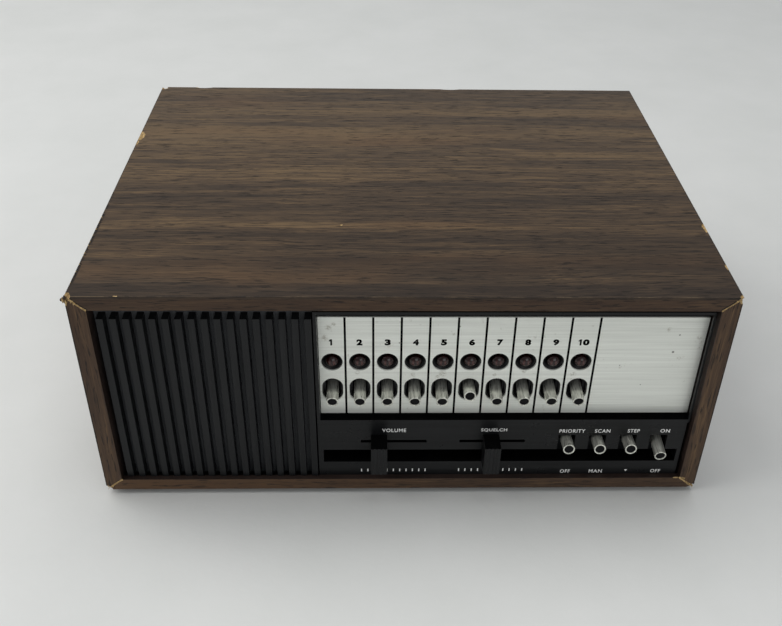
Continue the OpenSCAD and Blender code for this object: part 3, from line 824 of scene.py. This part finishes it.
def splinters():
    """Splinters at the worn front corners, and the curled vinyl and torn board at the upper left."""
    random.seed(61)
    bm = bmesh.new()
    for corner, count in enumerate(SPLINTERS):
        inward = (INNER[corner] - OUTER[corner]).normalized()
        for _ in range(count):
            foot = OUTER[corner] + inward * random.uniform(0.6, 6.5)
            start = Vector((foot.x, FRONT + random.uniform(0.1, 0.5), foot.y))
            way = Vector([random.uniform(*span) for span in SPLINTER_WAYS]).normalized()
            bend = Vector([random.uniform(-0.3, 0.3) for _ in range(3)])
            reach = random.uniform(0.6, 1.5)
            side = way.orthogonal().normalized()
            other = way.cross(side)
            rings = []
            for share, width in SPLINTER_RINGS:
                at = start + way * reach * share + bend * share * share
                turns = [math.tau * k / 4 for k in range(4)]
                ring = [side * math.cos(t) + other * 0.5 * math.sin(t) for t in turns]
                rings.append([bm.verts.new((at + p * width) * MM) for p in ring])
            for near, far in zip(rings, rings[1:]):
                for k in range(4):
                    bm.faces.new((near[k], near[k - 1], far[k - 1], far[k]))
            bm.faces.new(rings[0])
            bm.faces.new(rings[-1][::-1])
    bmesh.ops.recalc_face_normals(bm, faces=bm.faces)
    finish_piece(object_from(bm, "corner_splinters"), "cabinet_top", [bare])
    left, top = OUTER[3]
    curls = [
        [left - 0.1, FRONT + 1.4, top - 2.6, 0.55, 1.0, 2.3],
        [left - 1.5, FRONT + 0.8, top - 2.3, 0.45, 0.5, 0.8],
        [left + 0.3, FRONT + 0.5, top - 1.0, 0.8, 0.7, 0.6],
    ]
    finish_piece(chip_cutters("vinyl_curl", curls, 71), "cabinet_left", [walnut_z])
    torn = [
        [left - 0.85, FRONT + 0.9, top - 2.4, 0.5, 0.7, 1.5],
        [left + 0.5, FRONT + 0.2, top - 3.4, 0.4, 0.5, 1.6],
    ]
    finish_piece(chip_cutters("torn_edge", torn, 72), "cabinet_left", [bare])


# ---------------------------------------------------------------- front


# how far print stands out of its face, and how far it reaches into it
INK = 0.03
# the plate's dividing lines
LINE_HALF = 0.5  # half of a line's width
LINE_SHIFT = -0.15  # sideways, from half a pitch to the right of a lamp
LINE_INSET = 0.1  # from the plate's lower and upper edges
# the plate's channel numbers
DIGIT_LOW = LAMP_Z + 9.6
DIGIT_HIGH = LAMP_Z + 13.0
DIGIT_HALF = 1.35  # half of a digit's width
DIGIT_WEIGHT = 0.065
# a figure one with a flag, in a box of 1 by 1
FIGURE_ONE = [
    (0.42, 0.0), (1.0, 0.0), (1.0, 1.0), (0.5, 1.0), (0.0, 0.84), (0.0, 0.62), (0.42, 0.70),
]
# the panel's legends, each (text, left x, right x, low z)
LEGENDS = [
    ("VOLUME", -10.4, 1.0, 37.5),
    ("SQUELCH", 36.8, 49.2, 37.5),
    ("PRIORITY", 74.4, 86.8, 36.8),
    ("SCAN", 91.5, 98.9, 36.8),
    ("STEP", 107.3, 113.1, 36.8),
    ("ON", 123.1, 127.7, 36.8),
    ("OFF", 77.6, 82.5, 10.2),
    ("MAN", 91.9, 98.5, 10.2),
    ("OFF", 122.6, 127.5, 10.2),
]
LEGEND_TALL = 2.2
LEGEND_WEIGHT = 0.012
# the two slides' scales
SCALE_STARTS = [-20.4, 27.3]
SCALE_STEP = 3.12
SCALE_MARKS = 11
MARK_HALF = 0.26  # half of a mark's width
MARK_LOW = 11.6
MARK_HIGH = 13.4
# the small triangle under the third function switch
ARROW_X = 110.2
ARROW_Z = 11.9
ARROW_R = 0.85


def strip(bm, x0, x1, z0, z1, face):
    """A thin printed oblong on a face that looks to the front."""
    low = Vector((x0, face - INK, z0)) * MM
    high = Vector((x1, face + INK, z1)) * MM
    placing = Matrix.Translation((low + high) / 2) @ Matrix.Diagonal((*(high - low), 1.0))
    bmesh.ops.create_cube(bm, size=1.0, matrix=placing)


def add_figure_one(bm, x0, x1, z0, z1, face):
    """The figure one, its faces made one by one so that their order never varies."""
    outline = [(x0 + (x1 - x0) * u, z0 + (z1 - z0) * v) for u, v in FIGURE_ONE]
    near = [bm.verts.new(Vector((x, face - INK, z)) * MM) for x, z in outline]
    far = [bm.verts.new(Vector((x, face + INK, z)) * MM) for x, z in outline]
    bm.faces.new(near)
    bm.faces.new(far[::-1])
    for k in range(len(outline)):
        bm.faces.new((near[k], near[k - 1], far[k - 1], far[k]))


def add_word(bm, text, x0, x1, z0, z1, face, weight):
    """Text in the built-in font, fitted into a box."""
    curve = bpy.data.curves.new("word", "FONT")
    # a six is a nine turned round
    turned = text == "6"
    curve.body = "9" if turned else text
    curve.extrude = INK
    curve.offset = weight
    curve.space_character = 1.12
    curve.resolution_u = 6
    word = bpy.data.objects.new("word", curve)
    bpy.context.scene.collection.objects.link(word)
    graph = bpy.context.evaluated_depsgraph_get()
    mesh = bpy.data.meshes.new_from_object(word.evaluated_get(graph))
    co = [v.co.copy() for v in mesh.vertices]
    low = Vector([min(c[i] for c in co) for i in range(2)])
    high = Vector([max(c[i] for c in co) for i in range(2)])
    for v in mesh.vertices:
        across = (v.co.x - low.x) / (high.x - low.x)
        up = (v.co.y - low.y) / (high.y - low.y)
        if turned:
            across, up = 1 - across, 1 - up
        v.co = Vector((x0 + (x1 - x0) * across, face - v.co.z, z0 + (z1 - z0) * up)) * MM
    bm.from_mesh(mesh)
    bpy.data.objects.remove(word)
    bpy.data.meshes.remove(mesh)


def lettering(words, face, weight):
    """Printed words, each (text, left x, right x, low z, high z), on a face that looks to the front.

    A higher weight makes bolder letters. A "1" on its own is drawn from FIGURE_ONE.
    """
    bm = bmesh.new()
    for text, *box in words:
        if text == "1":
            add_figure_one(bm, *box, face)
        else:
            add_word(bm, text, *box, face, weight)
    bmesh.ops.recalc_face_normals(bm, faces=bm.faces)
    return bm


def front_prints():
    """Everything printed on the front: dividing lines, channel numbers, legends and scales."""
    lines = bmesh.new()
    for lamp_x in LAMP_X:
        x = lamp_x + PITCH / 2 + LINE_SHIFT
        low, high = PLATE_LOW.z + LINE_INSET, PLATE_HIGH.z - LINE_INSET
        strip(lines, x - LINE_HALF, x + LINE_HALF, low, high, PLATE_FACE)
    finish_piece(object_from(lines, "plate_lines"), "channel_plate", [ink_black], "bezel_plastic")
    # the first and last channels' figures have their own widths
    first, last = LAMP_X[0], LAMP_X[9]
    numbers = [("1", first - 1.0, first + 0.4)]
    for i in range(1, 9):
        numbers.append((str(i + 1), LAMP_X[i] - DIGIT_HALF, LAMP_X[i] + DIGIT_HALF))
    numbers.append(("1", last - 2.5, last - 1.1))
    numbers.append(("0", last - 0.5, last + 2.5))
    numbers = [(*number, DIGIT_LOW, DIGIT_HIGH) for number in numbers]
    digits = lettering(numbers, PLATE_FACE, DIGIT_WEIGHT)
    finish_piece(object_from(digits, "plate_numbers"), "channel_plate", [ink_black], "bezel_plastic")
    legends = [(*legend, legend[-1] + LEGEND_TALL) for legend in LEGENDS]
    white = lettering(legends, PANEL_FACE, LEGEND_WEIGHT)
    for start in SCALE_STARTS:
        for i in range(SCALE_MARKS):
            x = start + SCALE_STEP * i
            strip(white, x - MARK_HALF, x + MARK_HALF, MARK_LOW, MARK_HIGH, PANEL_FACE)
    middle = Matrix.Translation(Vector((ARROW_X, PANEL_FACE, ARROW_Z)) * MM)
    bmesh.ops.create_cone(
        white,
        cap_ends=True,
        segments=3,
        radius1=ARROW_R * MM,
        radius2=ARROW_R * MM,
        depth=2 * INK * MM,
        matrix=middle @ Matrix.Rotation(-math.pi / 2, 4, "X"),
    )
    finish_piece(object_from(white, "panel_legends"), "front_bezel", [ink_white], "bezel_plastic")


def front():
    """The front panel with its grille, plate, levers, slides and print."""
    # on the panel and the slides, faces that look up get a darker black with no shine: painted shade
    refined("bezel_moulding", "front_bezel", 0.18, [bezel_black, painted_shade_black])
    # the sheet between the bars gets the lighter grey: painted light
    grille_skins = [grille_black, grille_painted_light]
    refined("grille_moulding", "speaker_grille", 0.22, grille_skins, second=between_bars)
    refined("plate_sheet", "channel_plate", 0.10, [alloy], 1)
    for n in CHANNELS:
        refined(f"sleeve_{n}", f"channel_sleeve_{n}", 0.16, [chrome], 3)
        refined(f"core_{n}", f"channel_lever_{n}", 0.15, [lever_black])
    for f in FUNCTIONS:
        refined(f"{f}_sleeve_eased", f"{f}_sleeve", 0.14, [chrome], 3)
        refined(f"{f}_core", f"{f}_lever", 0.15, [lever_black])
    for f in ("volume", "squelch"):
        refined(f"{f}_button", f"{f}_knob", 0.16, [knob_black, painted_shade_black])
    front_prints()


# ---------------------------------------------------------------- back and underneath


def back():
    """The rear panel, its sockets, the feet and the screws."""
    refined("back_plate", "rear_panel", 0.15, [PAINTS["rear_paint"]])
    refined("aerial_socket", "antenna_jack", 0.3, [nickel])
    refined("phone_socket", "speaker_jack", 0.3, [PAINTS["jack_plastic"]])
    refined("mains_inlet", "power_inlet", 0.25, [PAINTS["jack_plastic"]])
    refined("rubber_feet", "feet", 0.5, [PAINTS["foot_rubber"]], 3)
    refined("pan_screws", "screws", 0.35, [zinc], 3)


def insides():
    """Gives every CAD node that no piece stands for its real material."""
    boards = {"cabinet_top", "cabinet_bottom", "cabinet_left", "cabinet_right"}
    shown = {"front_bezel", "speaker_grille", "channel_plate", "volume_knob", "squelch_knob"}
    rear = {"rear_panel", "antenna_jack", "speaker_jack", "power_inlet", "feet", "screws"}
    replaced = boards | shown | rear
    for node in frame["nodes"]:
        if node in replaced or "_lever" in node or "_sleeve" in node:
            continue
        repainted(node, PAINTS[SLOT_OF[node]])


# ---------------------------------------------------------------- stage


LENS = 43.88
LENS_SHIFT = -0.0169
CAMERA_PLACE = Vector((-13.374, -444.668, 346.36))
# in degrees: how far the camera looks down and to the right, and how far its right side is raised
CAMERA_TURNS = (35.351, 2.076, 1.268)
# The table and the lights are in metres and watts.
TABLE_HALF = 6.0  # half of the table's width
ROOM_COLOUR = (0.93, 0.97, 1.0, 1)
ROOM_STRENGTH = 0.26
# each light's name, place, width and depth, power, colour, and the point it looks at
LIGHTS = [
    ("window", (-1.1, 0.1, 1.3), (1.6, 1.6), 18, (1.0, 0.99, 0.97), (0, 0, 0)),
    ("ceiling", (0.2, 0.3, 1.9), (1.2, 1.2), 11, (1, 1, 1), (0, 0, 0)),
    ("fill", (0.6, -1.5, 0.7), (1.2, 1.0), 5.3, (1, 1, 1), (0, -0.1, 0)),
]


def camera():
    data = bpy.data.cameras.new("camera")
    data.sensor_width = 36.0
    data.lens = LENS
    data.shift_x = LENS_SHIFT
    item = bpy.data.objects.new("camera", data)
    pitch, yaw, roll = (math.radians(turn) for turn in CAMERA_TURNS)
    level_reach = math.cos(pitch)
    ahead = Vector((math.sin(yaw) * level_reach, math.cos(yaw) * level_reach, -math.sin(pitch)))
    level = Vector((math.cos(yaw), -math.sin(yaw), 0))
    upright = level.cross(ahead)
    right = level * math.cos(roll) + upright * math.sin(roll)
    up = upright * math.cos(roll) - level * math.sin(roll)
    turn = Matrix((right, up, -ahead)).transposed().to_4x4()
    item.matrix_world = Matrix.Translation(CAMERA_PLACE * MM) @ turn
    bpy.context.scene.collection.objects.link(item)
    bpy.context.scene.camera = item


def area_light(name, place, size, power, colour, aim):
    data = bpy.data.lights.new(name, "AREA")
    data.shape = "RECTANGLE"
    data.size, data.size_y = size
    data.energy = power
    data.color = colour
    item = bpy.data.objects.new(name, data)
    way = Vector(aim) - Vector(place)
    turn = way.to_track_quat("-Z", "Y").to_matrix().to_4x4()
    item.matrix_world = Matrix.Translation(place) @ turn
    bpy.context.scene.collection.objects.link(item)


def stage():
    """The table, the room's even light and the lights."""
    mesh = bpy.data.meshes.new("table")
    ways = [(-1, -1), (1, -1), (1, 1), (-1, 1)]
    mesh.from_pydata([(x * TABLE_HALF, y * TABLE_HALF, 0) for x, y in ways], [], [(0, 1, 2, 3)])
    mesh.materials.append(table_top())
    table = bpy.data.objects.new("table", mesh)
    bpy.context.scene.collection.objects.link(table)
    world = bpy.data.worlds.new("room")
    world.use_nodes = True
    background = next(n for n in world.node_tree.nodes if n.type == "BACKGROUND")
    background.inputs["Color"].default_value = ROOM_COLOUR
    background.inputs["Strength"].default_value = ROOM_STRENGTH
    bpy.context.scene.world = world
    for light in LIGHTS:
        area_light(*light)
    bpy.context.scene.view_settings.view_transform = "Standard"


camera()
stage()
cabinet()
front()
back()
insides()
